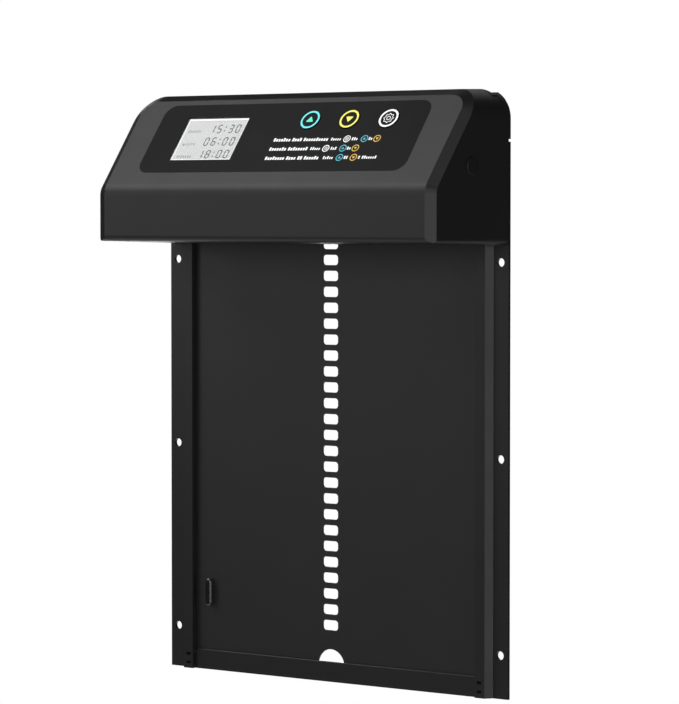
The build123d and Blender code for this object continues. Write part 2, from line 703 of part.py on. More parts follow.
with BuildPart() as lcd_holder:
    seat = 2 * DISPLAY_FRAME + 0.4
    with BuildSketch(FACE.offset(-BOARD_DEPTH)):
        with Locations((LCD_X, LCD_V)):
            Rectangle(LCD_WIDTH + seat + 2.6, LCD_HEIGHT + seat + 2.6)
            Rectangle(LCD_WIDTH, LCD_HEIGHT, mode=Mode.SUBTRACT)
    extrude(amount=BOARD_DEPTH - DISPLAY_STEP - 0.4)
    with BuildSketch(FACE.offset(-DISPLAY_BACK - 0.1)):
        with Locations((LCD_X, LCD_V)):
            Rectangle(LCD_WIDTH + seat, LCD_HEIGHT + seat)
    extrude(amount=DISPLAY_BACK, mode=Mode.SUBTRACT)


def control_button(x):
    """A round cap in the cover, with a flange under the wall that keeps it in."""
    with BuildPart() as cap:
        with BuildSketch(FACE.offset(BUTTON_PROUD)):
            with Locations((x, BUTTON_V)):
                Circle(BUTTON_RADIUS)
        extrude(amount=-(BUTTON_PROUD + WALL + 0.1))
        with BuildSketch(FACE.offset(-WALL - 0.1)):
            with Locations((x, BUTTON_V)):
                Circle(BUTTON_RADIUS + BUTTON_FLANGE)
        extrude(amount=-(FLANGE_UNDER - WALL - 0.1))
        fillet(cap.edges().group_by(Axis(FACE.origin, FACE.z_dir))[-1], 0.4)
    return cap.part


def switch_plunger(x):
    """The pin of a switch, which moves with its button."""
    with BuildPart() as pin:
        with BuildSketch(FACE.offset(-FLANGE_UNDER - 0.02)):
            with Locations((x, BUTTON_V)):
                Circle(PLUNGER_RADIUS)
        extrude(amount=-(SWITCH_TOP - FLANGE_UNDER + 0.1))
    return pin.part


with BuildPart() as tact_switches:
    with BuildSketch(FACE.offset(-SWITCH_TOP)):
        with Locations(*[(x, BUTTON_V) for x in BUTTON_XS]):
            Rectangle(SWITCH_SIZE, SWITCH_SIZE)
    extrude(amount=-(BOARD_DEPTH - SWITCH_TOP))
    with BuildSketch(FACE.offset(-SWITCH_TOP)):
        with Locations(*[(x, BUTTON_V) for x in BUTTON_XS]):
            Circle(PLUNGER_RADIUS + 0.15)
    extrude(amount=-1.4, mode=Mode.SUBTRACT)

with BuildPart() as circuit_board:
    with BuildSketch(FACE.offset(-BOARD_DEPTH)):
        Rectangle(BOARD_WIDTH, BOARD_HEIGHT)
        with Locations(*BOARD_SCREWS):
            Circle(1.3, mode=Mode.SUBTRACT)
    extrude(amount=-BOARD_THICKNESS)


def board_place(x, v):
    """The plane on the board's back, looking into the housing."""
    return Plane(origin=FACE.from_local_coords((x, v, -BOARD_BACK)), x_dir=(1, 0, 0), z_dir=-FACE.z_dir)


board_screws = screws([board_place(x, v) for x, v in BOARD_SCREWS], 1.0, 6.0, 2.0, False, 1.4)

with BuildPart(board_place(0, 0)) as controller_chips:
    for chip_x, chip_v, chip_length, chip_width in CHIPS:
        with Locations((chip_x, chip_v, 0)):
            Box(chip_length, chip_width, CHIP_THICKNESS, align=UP)

with BuildPart(board_place(40, -13)) as buzzer:
    Cylinder(6.0, 4.5, align=UP)
    Cylinder(1.0, 5.0, align=UP, mode=Mode.SUBTRACT)

with BuildPart(board_place(-64, 0)) as backup_cell:
    Cylinder(10.0, 3.2, align=UP)
    fillet(backup_cell.edges().filter_by(GeomType.CIRCLE), 0.4)

with BuildPart(*[board_place(x, v) for x, v in CONNECTORS]) as board_connectors:
    Box(7.5, 5.8, CONNECTOR_DEPTH, align=UP)
    with Locations((0, 0, CONNECTOR_DEPTH)):
        Box(5.9, 4.2, CONNECTOR_DEPTH - 1.5, align=DOWN, mode=Mode.SUBTRACT)

with BuildPart() as reed_switch:
    with BuildSketch(SIDE.offset(-100)):
        with Locations((-PLATEAU - 1.6, 266)):
            Circle(1.3)
    extrude(amount=14)
    fillet(reed_switch.edges().filter_by(GeomType.CIRCLE), 0.9)

# ---------------------------------------------------------------------------------------------
# Gearbox


def involute(angle):
    """The involute function."""
    return tan(angle) - angle


def gear_face(teeth, module, addendum, dedendum, thinning, bore):
    """A spur gear's face with involute flanks and its first tooth on the local x axis."""
    pitch_radius = module * teeth / 2
    base_radius = pitch_radius * cos(PRESSURE)
    tip_radius = pitch_radius + addendum
    root_radius = pitch_radius - dedendum
    thickness = module * pi / 2 - thinning
    start = max(base_radius, root_radius)

    def flank(radius):
        angle = thickness / (2 * pitch_radius) + involute(PRESSURE) - involute(acos(base_radius / radius))
        return (radius * cos(angle), radius * sin(angle))

    upper = [flank(start + (tip_radius - start) * i / 4) for i in range(5)]
    lower = [(x, -y) for x, y in reversed(upper)]
    with BuildSketch() as tooth:
        with BuildLine():
            Polyline((0, 0), *upper)
            ThreePointArc(upper[-1], (tip_radius, 0), lower[0])
            Polyline(*lower, (0, 0))
        make_face()
    with BuildSketch() as wheel:
        Circle(root_radius)
        with PolarLocations(0, teeth):
            add(tooth.sketch)
        Circle(bore, mode=Mode.SUBTRACT)
    return wheel.sketch


with BuildPart() as drive_gear:
    with BuildSketch(cross_plane(GEAR_LEFT, SHAFT_DEPTH, SHAFT_HEIGHT)):
        bore = SHAFT_RADIUS + SHAFT_FIT
        add(gear_face(RACK_TEETH, RACK_MODULE, RACK_ADDENDUM, RACK_DEDENDUM, RACK_THINNING, bore))
    extrude(amount=GEAR_RIGHT - GEAR_LEFT)
    with BuildSketch(cross_plane(HUB_LEFT, SHAFT_DEPTH, SHAFT_HEIGHT)):
        Circle(HUB_RADIUS)
        Circle(SHAFT_RADIUS + SHAFT_FIT, mode=Mode.SUBTRACT)
    extrude(amount=HUB_RIGHT - HUB_LEFT)

with BuildPart() as driven_gear:
    with BuildSketch(cross_plane(SPUR_LEFT, SHAFT_DEPTH, SHAFT_HEIGHT, PINION_ANGLE)):
        bore = SHAFT_RADIUS + SHAFT_FIT
        add(gear_face(SPUR_TEETH, SPUR_MODULE, SPUR_ADDENDUM, SPUR_DEDENDUM, SPUR_THINNING, bore))
    extrude(amount=SPUR_RIGHT - SPUR_LEFT)
    with BuildSketch(cross_plane(SPUR_LEFT - SPUR_HUB, SHAFT_DEPTH, SHAFT_HEIGHT)):
        Circle(SHAFT_RADIUS + 2.5)
        Circle(SHAFT_RADIUS + SHAFT_FIT, mode=Mode.SUBTRACT)
    extrude(amount=SPUR_HUB)

with BuildPart() as drive_shaft:
    with BuildSketch(cross_plane(SHAFT_LEFT, SHAFT_DEPTH, SHAFT_HEIGHT)):
        Circle(SHAFT_RADIUS)
    extrude(amount=SHAFT_RIGHT - SHAFT_LEFT)
    for clip_x in CLIP_XS:
        with BuildSketch(cross_plane(clip_x - 0.05, SHAFT_DEPTH, SHAFT_HEIGHT)):
            Circle(SHAFT_RADIUS + 1)
            Circle(GROOVE_RADIUS, mode=Mode.SUBTRACT)
        extrude(amount=CLIP_THICKNESS + 0.1, mode=Mode.SUBTRACT)

with BuildPart() as shaft_clips:
    for clip_x in CLIP_XS:
        with BuildSketch(cross_plane(clip_x, SHAFT_DEPTH, SHAFT_HEIGHT)):
            Circle(CLIP_RADIUS)
            Circle(GROOVE_RADIUS + 0.05, mode=Mode.SUBTRACT)
            with Locations((CLIP_RADIUS, 0)):
                Rectangle(2 * CLIP_RADIUS, 3.4, mode=Mode.SUBTRACT)
        extrude(amount=CLIP_THICKNESS)


def shaft_bush(cheek_x, flange_x):
    """A flanged plain bush in a cheek of the gearbox frame."""
    bore = SHAFT_RADIUS + 0.05
    with BuildPart() as bush:
        with BuildSketch(cross_plane(cheek_x, SHAFT_DEPTH, SHAFT_HEIGHT)):
            Circle(BUSH_RADIUS)
            Circle(bore, mode=Mode.SUBTRACT)
        extrude(amount=CHEEK_THICKNESS)
        with BuildSketch(cross_plane(flange_x, SHAFT_DEPTH, SHAFT_HEIGHT)):
            Circle(BUSH_FLANGE)
            Circle(bore, mode=Mode.SUBTRACT)
        extrude(amount=BUSH_FLANGE_THICKNESS)
    return bush.part


with BuildPart() as gearbox_frame:
    for cheek_x in (LEFT_CHEEK, RIGHT_CHEEK):
        with BuildSketch(SIDE.offset(cheek_x)):
            with Locations((-(FRAME_BACK + CHEEK_FRONT) / 2, (FRAME_LOW + FRAME_TOP) / 2)):
                Rectangle(CHEEK_FRONT - FRAME_BACK, FRAME_TOP - FRAME_LOW)
            with Locations((-SHAFT_DEPTH, SHAFT_HEIGHT)):
                Circle(BUSH_RADIUS + 0.02, mode=Mode.SUBTRACT)
        extrude(amount=CHEEK_THICKNESS)
    # Plate that carries the motor
    with BuildSketch(SIDE.offset(PLATE_X)):
        with BuildLine():
            Polyline(
                (-FRAME_BACK, FRAME_LOW),
                (-PLATE_FRONT, FRAME_LOW),
                (-PLATE_FRONT, FRAME_TOP - 18.8),
                (-CHEEK_FRONT, FRAME_TOP),
                (-FRAME_BACK, FRAME_TOP),
                close=True,
            )
        make_face()
        with Locations((-MOTOR_DEPTH, MOTOR_HEIGHT)):
            Circle(MOTOR_BOSS + 0.1, mode=Mode.SUBTRACT)
            with PolarLocations(MOTOR_SCREW_SPACING / 2, 2, start_angle=90):
                Circle(1.3, mode=Mode.SUBTRACT)
    extrude(amount=MOTOR_X - PLATE_X)
    # Webs under and over the gears
    for web in (FRAME_LOW + WEB_THICKNESS / 2, FRAME_TOP - WEB_THICKNESS / 2):
        with BuildSketch(SIDE.offset(LEFT_CHEEK)):
            with Locations((-(FRAME_BACK + WEB_FRONT) / 2, web)):
                Rectangle(WEB_FRONT - FRAME_BACK, WEB_THICKNESS)
        extrude(amount=MOTOR_X - LEFT_CHEEK)
    # Ears for the screws to the rear base
    with BuildSketch(FRONT.offset(EAR_BACK)):
        for ear_x in EAR_XS:
            for ear_height in EAR_HEIGHTS:
                with Locations((ear_x, ear_height)):
                    Rectangle(9.2, 7)
                    Circle(1.45, mode=Mode.SUBTRACT)
    extrude(amount=EAR_THICKNESS)

gearbox_screws = screws(
    [wall_plane(x, height, EAR_BACK + EAR_THICKNESS) for x in EAR_XS for height in EAR_HEIGHTS],
    1.3, 7.6, 2.5, False,
)

with BuildPart() as motor_pinion:
    in_mesh = PINION_ANGLE - 180 + 180 / PINION_TEETH
    with BuildSketch(cross_plane(SPUR_LEFT - 0.5, MOTOR_DEPTH, MOTOR_HEIGHT, in_mesh)):
        bore = MOTOR_SHAFT_RADIUS + SHAFT_FIT
        add(gear_face(PINION_TEETH, SPUR_MODULE, SPUR_ADDENDUM, SPUR_DEDENDUM, SPUR_THINNING, bore))
    extrude(amount=SPUR_RIGHT - SPUR_LEFT + 0.8)

with BuildPart() as motor_shaft:
    with BuildSketch(cross_plane(SPUR_LEFT - 1.0, MOTOR_DEPTH, MOTOR_HEIGHT)):
        Circle(MOTOR_SHAFT_RADIUS)
    extrude(amount=15.0)

with BuildPart() as motor_gearhead:
    with BuildSketch(cross_plane(MOTOR_X, MOTOR_DEPTH, MOTOR_HEIGHT)):
        Circle(MOTOR_RADIUS)
    extrude(amount=GEARHEAD_LENGTH)
    with BuildSketch(cross_plane(PLATE_X, MOTOR_DEPTH, MOTOR_HEIGHT)):
        Circle(MOTOR_BOSS)
    extrude(amount=MOTOR_X - PLATE_X)
    with BuildSketch(cross_plane(PLATE_X, MOTOR_DEPTH, MOTOR_HEIGHT)):
        Circle(MOTOR_SHAFT_RADIUS + 0.06)
    extrude(amount=6.0, mode=Mode.SUBTRACT)
    with BuildSketch(cross_plane(MOTOR_X, MOTOR_DEPTH, MOTOR_HEIGHT)):
        with PolarLocations(MOTOR_SCREW_SPACING / 2, 2, start_angle=90):
            Circle(1.15)
    extrude(amount=4.5, mode=Mode.SUBTRACT)

with BuildPart() as motor_can:
    with BuildSketch(cross_plane(MOTOR_X + GEARHEAD_LENGTH, MOTOR_DEPTH, MOTOR_HEIGHT)):
        Circle(MOTOR_RADIUS)
    extrude(amount=MOTOR_LENGTH)
    fillet(motor_can.edges().sort_by(Axis.X)[-1], 1.5)
    with BuildSketch(cross_plane(TERMINAL_X, MOTOR_DEPTH, MOTOR_HEIGHT)):
        Circle(4.0)
    extrude(amount=2.0)

with BuildPart() as motor_terminals:
    with BuildSketch(cross_plane(TERMINAL_X, MOTOR_DEPTH, MOTOR_HEIGHT)):
        with Locations((0, 7), (0, -7)):
            Rectangle(2.4, 0.5)
    extrude(amount=5.0)

motor_screws = screws(
    [
        Plane(
            origin=point(PLATE_X, MOTOR_DEPTH, MOTOR_HEIGHT + offset),
            x_dir=(0, 1, 0),
            z_dir=(-1, 0, 0),
        )
        for offset in (-MOTOR_SCREW_SPACING / 2, MOTOR_SCREW_SPACING / 2)
    ],
    1.1, 6.5, 1.9, False, 1.4,
)

# ---------------------------------------------------------------------------------------------
# Batteries and their bay


def battery_cell(left, depth, nub_side):
    """A round cell with its nub at the right end, or at the left end when nub_side is -1."""
    body_length = CELL_LENGTH - CELL_NUB
    body_left = left if nub_side > 0 else left + CELL_NUB
    with BuildPart() as cell:
        with BuildSketch(cross_plane(body_left, depth, CELL_HEIGHT)):
            Circle(CELL_RADIUS)
        extrude(amount=body_length)
        fillet(cell.edges().filter_by(GeomType.CIRCLE), 0.6)
        with BuildSketch(cross_plane(left, depth, CELL_HEIGHT)):
            Circle(2.7)
        extrude(amount=CELL_LENGTH if nub_side > 0 else 3.0)
    return cell.part


with BuildPart() as battery_tray:
    tray_back = CELL_DEPTHS[0] - CELL_RADIUS - TRAY_CLEAR
    tray_front = CELL_DEPTHS[1] + CELL_RADIUS + TRAY_CLEAR
    tray_low = LID_TOP + TRAY_CLEAR
    tray_top = CELL_HEIGHT + CELL_RADIUS + 0.5
    with BuildSketch(LEVEL.offset(tray_low)):
        with Locations(((TRAY_LEFT + TRAY_RIGHT) / 2, -(tray_back + tray_front) / 2)):
            Rectangle(TRAY_RIGHT - TRAY_LEFT + 2 * TRAY_WALL, tray_front - tray_back + 2 * TRAY_WALL)
    extrude(amount=tray_top + TRAY_WALL - tray_low)
    with BuildSketch(LEVEL.offset(tray_low)):
        with Locations(((TRAY_LEFT + TRAY_RIGHT) / 2, -(tray_back + tray_front) / 2)):
            Rectangle(TRAY_RIGHT - TRAY_LEFT, tray_front - tray_back)
    extrude(amount=tray_top - tray_low, mode=Mode.SUBTRACT)

with BuildPart() as battery_contacts:
    # One long plate joins the rows at the left, and each row has its own plate at the right
    with BuildSketch(SIDE.offset(TRAY_LEFT)):
        with Locations((-(CELL_DEPTHS[0] + CELL_DEPTHS[1]) / 2, CELL_HEIGHT)):
            Rectangle(CELL_DEPTHS[1] - CELL_DEPTHS[0] + CONTACT_SIZE, CONTACT_SIZE)
    extrude(amount=CONTACT)
    with BuildSketch(SIDE.offset(TRAY_RIGHT - CONTACT)):
        with Locations(*[(-depth, CELL_HEIGHT) for depth in CELL_DEPTHS]):
            Rectangle(CONTACT_SIZE, CONTACT_SIZE)
    extrude(amount=CONTACT)


def contact_spring(left, depth):
    """A short coil between a contact plate and the flat end of a cell."""
    with BuildPart() as coil:
        with BuildLine():
            turns = Helix(
                pitch=0.85,
                height=SPRING_SPACE - 2 * SPRING_WIRE - 0.1,
                radius=3.0,
                center=point(left + SPRING_WIRE + 0.05, depth, CELL_HEIGHT),
                direction=(1, 0, 0),
            )
        with BuildSketch(Plane(origin=turns @ 0, z_dir=turns % 0)):
            Circle(SPRING_WIRE)
        sweep(is_frenet=True)
    return coil.part


with BuildPart() as battery_springs:
    add(contact_spring(FIRST_CELL, CELL_DEPTHS[0]))
    add(contact_spring(TRAY_RIGHT - CONTACT - SPRING_SPACE, CELL_DEPTHS[1]))


def lid_region(left, right, back, front, top):
    """A piece of the housing's own form below a height, so that the lid stays flush with the housing."""
    with BuildPart() as region:
        with BuildSketch(LEVEL.offset(HOUSING_LOW - 5)):
            with Locations(((left + right) / 2, -(back + front) / 2)):
                Rectangle(right - left, front - back)
        extrude(amount=top - HOUSING_LOW + 5)
        add(outer_block, mode=Mode.INTERSECT)
    return region.part


with BuildPart() as battery_cover:
    add(lid_region(-WIDTH / 2 - 1, LID_X, LID_BACK, LID_FRONT, LID_FLANGE + 0.1))
    add(lid_region(-WIDTH / 2 - 1, -LID_END, LID_BACK - 2.4, LID_FRONT + 2.4, LID_TOP))
    with BuildSketch(LEVEL.offset(LID_FLANGE)):
        with Locations(((LID_X + 1 - LID_END) / 2, -(LID_BACK + LID_FRONT) / 2)):
            Rectangle(LID_X + 2 + LID_END, LID_FRONT - LID_BACK + 3.2)
    extrude(amount=LID_TOP - LID_FLANGE)
    # Finger grooves across the underside
    with BuildSketch(LEVEL.offset(HOUSING_LOW - 1)):
        with Locations(*[(-108 + 4 * i, -(LID_BACK + LID_FRONT) / 2) for i in range(GRIP_COUNT)]):
            RectangleRounded(1.6, 14, 0.7)
    extrude(amount=2.2, mode=Mode.SUBTRACT)

# ---------------------------------------------------------------------------------------------
# Power jack and its plug

with BuildPart() as power_jack:
    with BuildSketch(SIDE.offset(JACK_FACE - 13)):
        with Locations((-JACK_DEPTH, JACK_HEIGHT)):
            Circle(6.0)
    extrude(amount=13.0 - 0.6)
    with BuildSketch(SIDE.offset(JACK_FACE - 10)):
        with Locations((-JACK_DEPTH, JACK_HEIGHT)):
            Circle(3.95)
    extrude(amount=11.2)
    with BuildSketch(SIDE.offset(JACK_FACE - 9)):
        with Locations((-JACK_DEPTH, JACK_HEIGHT)):
            Circle(2.9)
            Circle(1.0, mode=Mode.SUBTRACT)
    extrude(amount=12, mode=Mode.SUBTRACT)

with BuildPart() as jack_plug:
    with BuildSketch(SIDE.offset(JACK_FACE - 7)):
        with Locations((-JACK_DEPTH, JACK_HEIGHT)):
            Circle(2.8)
            Circle(1.1, mode=Mode.SUBTRACT)
    extrude(amount=8.4)
    with BuildSketch(SIDE.offset(JACK_FACE + 1.3)):
        with Locations((-JACK_DEPTH, JACK_HEIGHT)):
            Circle(3.95)
    extrude(amount=1.6)
    with BuildSketch(SIDE.offset(JACK_FACE + 2.9)):
        with Locations((-JACK_DEPTH, JACK_HEIGHT)):
            Circle(5.0)
    extrude(amount=0.8)
    fillet(jack_plug.faces().sort_by(Axis.X)[-1].edges(), 0.5)

# ---------------------------------------------------------------------------------------------
# Wires


def wire_pair(route):
    """Two insulated wires side by side along one route."""
    spread = Vector(0.8, 0, 0.8)
    with BuildPart() as pair:
        for shift in (-spread, spread):
            with BuildLine() as path:
                FilletPolyline(*[corner + shift for corner in route], radius=WIRE_BEND)
            with BuildSketch(Plane(origin=path.wire() @ 0, z_dir=path.wire() % 0)):
                Circle(WIRE_RADIUS)
            sweep(path=path.wire())
    return pair.part


def out_of_connector(index, reach):
    """A point straight out of a board connector."""
    x, v = CONNECTORS[index]
    return FACE.from_local_coords((x, v, -BOARD_BACK - reach))


battery_wires = wire_pair(
    [point(TRAY_RIGHT + 2.5, 52, 276), point(-3, 52, 276), out_of_connector(0, 9), out_of_connector(0, 2.4)]
)
motor_wires = wire_pair(
    [
        point(TERMINAL_X + 5.9, MOTOR_DEPTH, MOTOR_HEIGHT + 7),
        point(84, MOTOR_DEPTH, MOTOR_HEIGHT + 7),
        out_of_connector(1, 7),
        out_of_connector(1, 2.4),
    ]
)
jack_wires = wire_pair(
    [
        point(JACK_FACE - 14, JACK_DEPTH, JACK_HEIGHT),
        point(98, JACK_DEPTH, JACK_HEIGHT),
        out_of_connector(2, 9),
        out_of_connector(2, 2.4),
    ]
)

pieces = {
    "left_rail": rail(-1),
    "right_rail": rail(1),
    "bottom_bar": bottom_bar.part,
    "left_corner_block": corner_block(-1),
    "right_corner_block": corner_block(1),
    "door_panel": door_panel.part,
    "door_stop": door_stop.part,
    "door_magnet": door_magnet.part,
    "rear_base": rear_base.part,
    "front_cover": front_cover.part,
    "cover_gasket": cover_gasket.part,
    "base_screws": screws(
        [wall_plane(x, height, 0, towards_wall=True) for x, height in BASE_SCREWS],
        1.45, 8.0, SINK_RADIUS, True,
    ),
    "cover_screws": screws(
        [wall_plane(x, height, PLATEAU - BASE_WALL, towards_wall=True) for x, height in COVER_SCREWS],
        1.5, 12.0, SINK_RADIUS, True,
    ),
    "control_overlay": control_overlay.part,
    "lcd_window": lcd_window.part,
    "lcd_module": lcd_module.part,
    "lcd_holder": lcd_holder.part,
    "open_button": control_button(BUTTON_XS[0]),
    "close_button": control_button(BUTTON_XS[1]),
    "set_button": control_button(BUTTON_XS[2]),
    "open_plunger": switch_plunger(BUTTON_XS[0]),
    "close_plunger": switch_plunger(BUTTON_XS[1]),
    "set_plunger": switch_plunger(BUTTON_XS[2]),
    "tact_switches": tact_switches.part,
    "circuit_board": circuit_board.part,
    "board_screws": board_screws,
    "controller_chips": controller_chips.part,
    "buzzer": buzzer.part,
    "backup_cell": backup_cell.part,
    "board_connectors": board_connectors.part,
    "reed_switch": reed_switch.part,
    "gearbox_frame": gearbox_frame.part,
    "gearbox_screws": gearbox_screws,
    "drive_gear": drive_gear.part,
    "driven_gear": driven_gear.part,
    "drive_shaft": drive_shaft.part,
    "shaft_clips": shaft_clips.part,
    "left_bush": shaft_bush(LEFT_CHEEK, LEFT_CHEEK + CHEEK_THICKNESS),
    "right_bush": shaft_bush(RIGHT_CHEEK, RIGHT_CHEEK - BUSH_FLANGE_THICKNESS),
    "motor_pinion": motor_pinion.part,
    "motor_shaft": motor_shaft.part,
    "motor_gearhead": motor_gearhead.part,
    "motor_can": motor_can.part,
    "motor_terminals": motor_terminals.part,
    "motor_screws": motor_screws,
    "battery_cell_1": battery_cell(FIRST_CELL + SPRING_SPACE, CELL_DEPTHS[0], 1),
    "battery_cell_2": battery_cell(FIRST_CELL + SPRING_SPACE + CELL_LENGTH, CELL_DEPTHS[0], 1),
    "battery_cell_3": battery_cell(FIRST_CELL, CELL_DEPTHS[1], -1),
    "battery_cell_4": battery_cell(FIRST_CELL + CELL_LENGTH, CELL_DEPTHS[1], -1),
    "battery_tray": battery_tray.part,
    "battery_contacts": battery_contacts.part,
    "battery_springs": battery_springs.part,
    "battery_cover": battery_cover.part,
    "power_jack": power_jack.part,
    "jack_plug": jack_plug.part,
    "battery_wires": battery_wires,
    "motor_wires": motor_wires,
    "jack_wires": jack_wires,
}

os.makedirs("parts", exist_ok=True)
for name, piece in pieces.items():
    piece.label = name
    export_step(piece, f"parts/{name}.step")
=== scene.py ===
import math

import bmesh
import bpy
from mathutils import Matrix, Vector


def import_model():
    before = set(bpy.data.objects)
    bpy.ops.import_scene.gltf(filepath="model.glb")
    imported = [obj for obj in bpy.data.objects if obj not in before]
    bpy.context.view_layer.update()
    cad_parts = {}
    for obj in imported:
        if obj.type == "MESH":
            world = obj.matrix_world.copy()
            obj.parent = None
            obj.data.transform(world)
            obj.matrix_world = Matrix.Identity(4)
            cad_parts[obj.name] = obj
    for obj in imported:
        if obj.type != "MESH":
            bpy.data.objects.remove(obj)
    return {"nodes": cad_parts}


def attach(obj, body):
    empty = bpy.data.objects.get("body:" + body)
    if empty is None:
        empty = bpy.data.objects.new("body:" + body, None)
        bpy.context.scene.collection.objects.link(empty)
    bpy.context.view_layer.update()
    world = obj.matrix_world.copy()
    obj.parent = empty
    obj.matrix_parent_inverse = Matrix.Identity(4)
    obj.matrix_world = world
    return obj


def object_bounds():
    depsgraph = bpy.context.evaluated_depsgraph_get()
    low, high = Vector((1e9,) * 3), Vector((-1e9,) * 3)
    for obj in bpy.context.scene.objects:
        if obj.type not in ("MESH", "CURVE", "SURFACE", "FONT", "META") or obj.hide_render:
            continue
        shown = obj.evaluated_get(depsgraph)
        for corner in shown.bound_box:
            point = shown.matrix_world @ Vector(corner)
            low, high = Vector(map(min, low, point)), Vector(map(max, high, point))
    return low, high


# Looks of an automatic coop door: black powder-coated rails and panel under a moulded black housing.
# Its slanted face has a printed control film, a display and three ringed buttons.
# Metres, in the CAD's own frame.

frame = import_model()
cad_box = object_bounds()
nodes = frame["nodes"]
MM = 0.001

# The slanted control face, read from the CAD: its own x runs along X, and v climbs the slope
SLOPE = math.radians(52.5)
FACE_UP = Vector((0, math.cos(SLOPE), math.sin(SLOPE)))
FACE_OUT = Vector((0, -math.sin(SLOPE), math.cos(SLOPE)))

# Camera, at the photograph's viewing angle
CAMERA_AZIMUTH = math.radians(37.37)
CAMERA_PITCH = math.radians(2.39)
CAMERA_PLACE = (1.2394, -1.6189, 0.1435)
CAMERA_LENS = 176.3

# Studio. Each light: direction from the place it faces, distance, width, height, watts and that place
FLOOR_DROP = 0.48
FLOOR_RADIUS = 2.0
FLOOR_SEEN, FLOOR_CAST = 0.75, 0.02
WORLD_SEEN, WORLD_CAST = 1.0, 0.015
MIDDLE = (0, 0, 0.02)
UNDER_HOUSING = (0, 0, 0.24)
LIGHTS = {
    "key": ((-0.55, -0.43, 0.71), 1.5, 0.9, 0.9, 11, MIDDLE),
    "front_left": ((-0.62, -0.78, 0.0), 1.2, 0.8, 0.4, 1.9, UNDER_HOUSING),
    "front_right": ((0.30, -0.94, 0.15), 1.8, 0.6, 1.2, 11, MIDDLE),
    "front_top": ((0.20, -0.42, 0.89), 1.5, 0.4, 0.4, 1.4, MIDDLE),
    "right": ((0.97, -0.22, 0.0), 1.8, 0.4, 1.3, 8, MIDDLE),
    "top_rear": ((-0.25, 0.75, 0.62), 1.5, 1.0, 0.6, 1.15, MIDDLE),
    "rear": ((-0.42, 0.90, -0.05), 1.8, 0.7, 0.7, 40, MIDDLE),
    "left": ((-0.72, 0.65, 0.10), 1.8, 0.6, 1.2, 8, MIDDLE),
}

# Finishes
NOISE_LOW, NOISE_HIGH = 0.3, 0.7
NOISE_DETAIL, UNEVEN_DETAIL, GRAIN_DETAIL = 3.0, 4.0, 2.0
UNEVEN_SIZE = 0.35
COAT_ROUGHNESS = 0.08

# Printed marks on the buttons
RING_OUTER = 6.4 * MM
RING_INNER = 5.15 * MM
ARROW_WIDTH = 5.5 * MM
ARROW_HEIGHT = 4.2 * MM
GEAR_RADIUS = 3.5 * MM
GEAR_LOBES = 8
LOBE_SHARPNESS = 2.2
LOBE_DEPTH = 0.09
GEAR_HUB = 0.42
HUB_LINE = 0.8
LINE_WIDTH = 0.55 * MM
THINNEST_LINE = 0.6
ARROW_SHIFT = 0.1
INK = 0.05 * MM
INK_SUNK = 0.02 * MM

# Rows of the display
DISPLAY_ROWS = ["15:30", "06:00", "18:00"]
DIGIT_WIDTH = 3.4 * MM
DIGIT_HEIGHT = 6.3 * MM
DIGIT_STROKE = 0.8 * MM
DIGIT_PITCH = 5.4 * MM
COLON_SPACE = 3.2 * MM
ROW_PITCH = 9.45 * MM
ROW_MARGIN = 3.8 * MM
ROW_SHIFT = -1.5 * MM
SEGMENT_GAP = 0.1
COLON_DOT = 0.9 * MM
COLON_HALF = 1.5 * MM
COLON_BACK = 1.0 * MM
DISPLAY_BORDER = 1.2 * MM
DISPLAY_INK = 0.03 * MM

# Small sign and blocks at the left of each row of the display
SIGN_MARGIN = 4.6 * MM
SIGN_DROP = 1.7 * MM
CLOCK_OUTER = 1.2 * MM
CLOCK_INNER = 0.85 * MM
CLOCK_HAND = (0.3 * MM, 0.8 * MM)
SIGN_ARROW = (2.4 * MM, 1.9 * MM)
LABEL_START = 2.5
LABEL_PITCH = 1.75
LABEL_BLOCK = (0.7 * MM, 1.9 * MM)

# Instruction lines. Titles and plain words are rows of blocks, given by where they start, in millimetres,
# and how many blocks each word has. A button's kind is a small ringed sign, given by where its middle is.
TITLE, PLAIN = "title", "plain"
INSTRUCTIONS = [
    [
        (-5.8, TITLE, (7, 4, 10)),
        (36.0, PLAIN, (5,)),
        (47.3, "set", ()),
        (50.9, PLAIN, (3,)),
        (59.8, "open", ()),
        (62.9, PLAIN, (2,)),
        (68.7, "close", ()),
    ],
    [
        (-5.8, TITLE, (7, 8)),
        (24.1, PLAIN, (5,)),
        (35.2, "set", ()),
        (38.8, PLAIN, (3,)),
        (47.5, "open", ()),
        (50.6, PLAIN, (2,)),
        (56.4, "close", ()),
    ],
    [
        (-5.8, TITLE, (8, 4, 2, 6)),
        (36.4, PLAIN, (5,)),
        (48.1, "open", ()),
        (51.4, PLAIN, (2,)),
        (58.1, "close", ()),
        (61.6, PLAIN, (1, 7)),
    ],
]
INSTRUCTION_TOP = -2.0 * MM
INSTRUCTION_PITCH = 6.75 * MM
# Pitch, width and the two heights of a block
BLOCKS = {
    TITLE: (1.80 * MM, 1.30 * MM, 2.4 * MM, 1.75 * MM),
    PLAIN: (1.50 * MM, 0.95 * MM, 2.1 * MM, 1.45 * MM),
}
WORD_GAP = 1.1 * MM
SMALL_RING = 2.45 * MM
SMALL_SIGN = 1.05

# Ends of a digit's seven segments in its cell, and the segments that each number lights
SEGMENTS = {
    "a": ((0, 1), (1, 1)),
    "b": ((1, 1), (1, 0.5)),
    "c": ((1, 0.5), (1, 0)),
    "d": ((0, 0), (1, 0)),
    "e": ((0, 0.5), (0, 0)),
    "f": ((0, 1), (0, 0.5)),
    "g": ((0, 0.5), (1, 0.5)),
}
LIT = {"0": "abcdef", "1": "bc", "3": "abcdg", "5": "acdfg", "6": "acdefg", "8": "abcdefg"}


# ---------------------------------------------------------------------------------------------
# Materials


